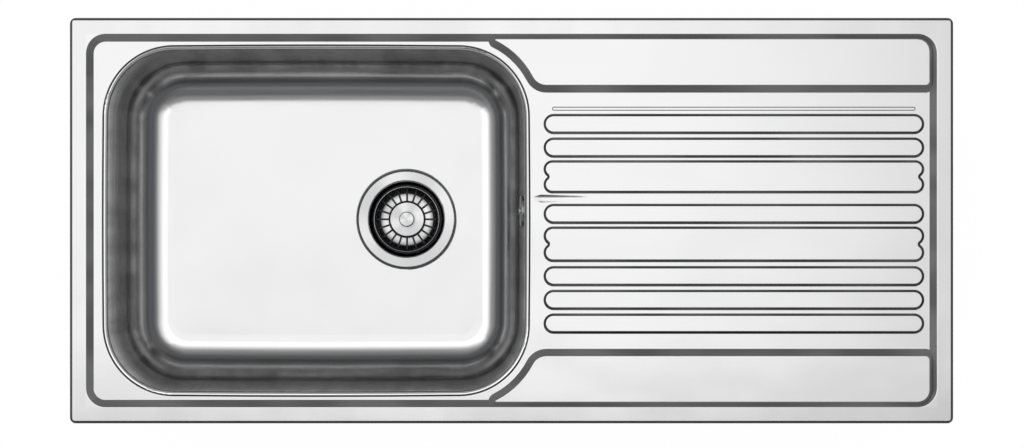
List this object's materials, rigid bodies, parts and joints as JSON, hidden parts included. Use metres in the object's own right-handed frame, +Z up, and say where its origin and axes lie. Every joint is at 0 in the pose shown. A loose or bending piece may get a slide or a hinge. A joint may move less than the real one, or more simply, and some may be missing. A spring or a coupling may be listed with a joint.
{
  "type": "kitchen sink",
  "caption": "Inset stainless kitchen sink with one deep bowl, a ribbed drainer, a strainer waste with lift-out basket, an overflow and swinging worktop clips.",
  "frame": {"origin": "plan centre of the sink at the underside of the rim seal, where it rests on the worktop", "axes": "+X from the bowl to the drainer, +Y to the back, +Z up"},
  "size_m": [0.98, 0.45, 0.263],
  "materials": {
    "stainless_sheet": "satin, finely brushed",
    "polished_stainless": "polished",
    "stainless_fixings": "machined",
    "rail_steel": "mill finish",
    "zinc_plated_steel": "bright zinc plating",
    "foam_seal": "closed-cell foam",
    "bitumen_pad": "matt sound-deadening sheet",
    "rubber": "moulded rubber",
    "waste_plastic": "moulded polypropylene",
    "brass": "turned brass"
  },
  "bodies": {
    "sink": {"bowl": "stainless_sheet", "bowl_pad": "bitumen_pad", "centre_screw": "stainless_fixings", "clamp_washer": "waste_plastic", "clip_hangers": "zinc_plated_steel", "cover_screw": "stainless_fixings", "deck": "stainless_sheet", "drainer_pad": "bitumen_pad", "earth_nut": "stainless_fixings", "earth_screw": "stainless_fixings", "earth_tag": "rail_steel", "flange_gasket": "rubber", "lower_union_nut": "waste_plastic", "lower_union_seal": "rubber", "overflow_cover": "polished_stainless", "overflow_elbow": "waste_plastic", "overflow_gasket": "rubber", "overflow_pipe": "waste_plastic", "rail_back": "rail_steel", "rail_front": "rail_steel", "rail_left": "rail_steel", "rail_right": "rail_steel", "rim_seal": "foam_seal", "strainer_flange": "polished_stainless", "upper_union_nut": "waste_plastic", "upper_union_seal": "rubber", "waste_body": "waste_plastic", "waste_insert": "brass"},
    "basket": {"basket": "polished_stainless", "basket_knob": "polished_stainless", "basket_stem": "stainless_fixings", "basket_seal": "rubber", "seal_plate": "stainless_fixings", "stem_clip": "stainless_fixings"},
    "screw_1": {"clip_1_screw": "zinc_plated_steel"},
    "nut_1": {"clip_1_nut": "zinc_plated_steel"},
    "jaw_1": {"clip_1_jaw": "zinc_plated_steel"},
    "screw_2": {"clip_2_screw": "zinc_plated_steel"},
    "nut_2": {"clip_2_nut": "zinc_plated_steel"},
    "jaw_2": {"clip_2_jaw": "zinc_plated_steel"},
    "screw_3": {"clip_3_screw": "zinc_plated_steel"},
    "nut_3": {"clip_3_nut": "zinc_plated_steel"},
    "jaw_3": {"clip_3_jaw": "zinc_plated_steel"},
    "screw_4": {"clip_4_screw": "zinc_plated_steel"},
    "nut_4": {"clip_4_nut": "zinc_plated_steel"},
    "jaw_4": {"clip_4_jaw": "zinc_plated_steel"},
    "screw_5": {"clip_5_screw": "zinc_plated_steel"},
    "nut_5": {"clip_5_nut": "zinc_plated_steel"},
    "jaw_5": {"clip_5_jaw": "zinc_plated_steel"},
    "screw_6": {"clip_6_screw": "zinc_plated_steel"},
    "nut_6": {"clip_6_nut": "zinc_plated_steel"},
    "jaw_6": {"clip_6_jaw": "zinc_plated_steel"},
    "screw_7": {"clip_7_screw": "zinc_plated_steel"},
    "nut_7": {"clip_7_nut": "zinc_plated_steel"},
    "jaw_7": {"clip_7_jaw": "zinc_plated_steel"},
    "screw_8": {"clip_8_screw": "zinc_plated_steel"},
    "nut_8": {"clip_8_nut": "zinc_plated_steel"},
    "jaw_8": {"clip_8_jaw": "zinc_plated_steel"}
  },
  "joints": [
    {"name": "basket_lift", "type": "slide", "parent": "sink", "child": "basket", "axis": [0, 0, 1], "range_m": [0, 0.25]},
    {"name": "nut_1_climb", "type": "slide", "parent": "sink", "child": "nut_1", "axis": [0, 0, 1], "range_m": [0, 0.016]},
    {"name": "screw_1_turn", "type": "hinge", "parent": "sink", "child": "screw_1", "pos_m": [-0.34, -0.2045, -0.045], "axis": [0, 0, 1], "range_deg": [0, 5760]},
    {"name": "jaw_1_swing", "type": "hinge", "parent": "nut_1", "child": "jaw_1", "pos_m": [-0.34, -0.2045, -0.055], "axis": [0, 0, 1], "range_deg": [0, 90]},
    {"name": "nut_2_climb", "type": "slide", "parent": "sink", "child": "nut_2", "axis": [0, 0, 1], "range_m": [0, 0.016]},
    {"name": "screw_2_turn", "type": "hinge", "parent": "sink", "child": "screw_2", "pos_m": [0.02, -0.2045, -0.045], "axis": [0, 0, 1], "range_deg": [0, 5760]},
    {"name": "jaw_2_swing", "type": "hinge", "parent": "nut_2", "child": "jaw_2", "pos_m": [0.02, -0.2045, -0.055], "axis": [0, 0, 1], "range_deg": [0, 90]},
    {"name": "nut_3_climb", "type": "slide", "parent": "sink", "child": "nut_3", "axis": [0, 0, 1], "range_m": [0, 0.016]},
    {"name": "screw_3_turn", "type": "hinge", "parent": "sink", "child": "screw_3", "pos_m": [0.38, -0.2045, -0.045], "axis": [0, 0, 1], "range_deg": [0, 5760]},
    {"name": "jaw_3_swing", "type": "hinge", "parent": "nut_3", "child": "jaw_3", "pos_m": [0.38, -0.2045, -0.055], "axis": [0, 0, 1], "range_deg": [0, 90]},
    {"name": "nut_4_climb", "type": "slide", "parent": "sink", "child": "nut_4", "axis": [0, 0, 1], "range_m": [0, 0.016]},
    {"name": "screw_4_turn", "type": "hinge", "parent": "sink", "child": "screw_4", "pos_m": [-0.34, 0.2045, -0.045], "axis": [0, 0, 1], "range_deg": [0, 5760]},
    {"name": "jaw_4_swing", "type": "hinge", "parent": "nut_4", "child": "jaw_4", "pos_m": [-0.34, 0.2045, -0.055], "axis": [0, 0, 1], "range_deg": [0, 90]},
    {"name": "nut_5_climb", "type": "slide", "parent": "sink", "child": "nut_5", "axis": [0, 0, 1], "range_m": [0, 0.016]},
    {"name": "screw_5_turn", "type": "hinge", "parent": "sink", "child": "screw_5", "pos_m": [0.02, 0.2045, -0.045], "axis": [0, 0, 1], "range_deg": [0, 5760]},
    {"name": "jaw_5_swing", "type": "hinge", "parent": "nut_5", "child": "jaw_5", "pos_m": [0.02, 0.2045, -0.055], "axis": [0, 0, 1], "range_deg": [0, 90]},
    {"name": "nut_6_climb", "type": "slide", "parent": "sink", "child": "nut_6", "axis": [0, 0, 1], "range_m": [0, 0.016]},
    {"name": "screw_6_turn", "type": "hinge", "parent": "sink", "child": "screw_6", "pos_m": [0.38, 0.2045, -0.045], "axis": [0, 0, 1], "range_deg": [0, 5760]},
    {"name": "jaw_6_swing", "type": "hinge", "parent": "nut_6", "child": "jaw_6", "pos_m": [0.38, 0.2045, -0.055], "axis": [0, 0, 1], "range_deg": [0, 90]},
    {"name": "nut_7_climb", "type": "slide", "parent": "sink", "child": "nut_7", "axis": [0, 0, 1], "range_m": [0, 0.016]},
    {"name": "screw_7_turn", "type": "hinge", "parent": "sink", "child": "screw_7", "pos_m": [-0.4695, 0, -0.045], "axis": [0, 0, 1], "range_deg": [0, 5760]},
    {"name": "jaw_7_swing", "type": "hinge", "parent": "nut_7", "child": "jaw_7", "pos_m": [-0.4695, 0, -0.055], "axis": [0, 0, 1], "range_deg": [0, 90]},
    {"name": "nut_8_climb", "type": "slide", "parent": "sink", "child": "nut_8", "axis": [0, 0, 1], "range_m": [0, 0.016]},
    {"name": "screw_8_turn", "type": "hinge", "parent": "sink", "child": "screw_8", "pos_m": [0.4695, 0, -0.045], "axis": [0, 0, 1], "range_deg": [0, 5760]},
    {"name": "jaw_8_swing", "type": "hinge", "parent": "nut_8", "child": "jaw_8", "pos_m": [0.4695, 0, -0.055], "axis": [0, 0, 1], "range_deg": [0, 90]}
  ],
  "couplings": [
    {"joint": "screw_1_turn", "follows": "nut_1_climb", "rad_per_m": 6283.2},
    {"joint": "screw_2_turn", "follows": "nut_2_climb", "rad_per_m": 6283.2},
    {"joint": "screw_3_turn", "follows": "nut_3_climb", "rad_per_m": 6283.2},
    {"joint": "screw_4_turn", "follows": "nut_4_climb", "rad_per_m": 6283.2},
    {"joint": "screw_5_turn", "follows": "nut_5_climb", "rad_per_m": 6283.2},
    {"joint": "screw_6_turn", "follows": "nut_6_climb", "rad_per_m": 6283.2},
    {"joint": "screw_7_turn", "follows": "nut_7_climb", "rad_per_m": 6283.2},
    {"joint": "screw_8_turn", "follows": "nut_8_climb", "rad_per_m": 6283.2}
  ]
}
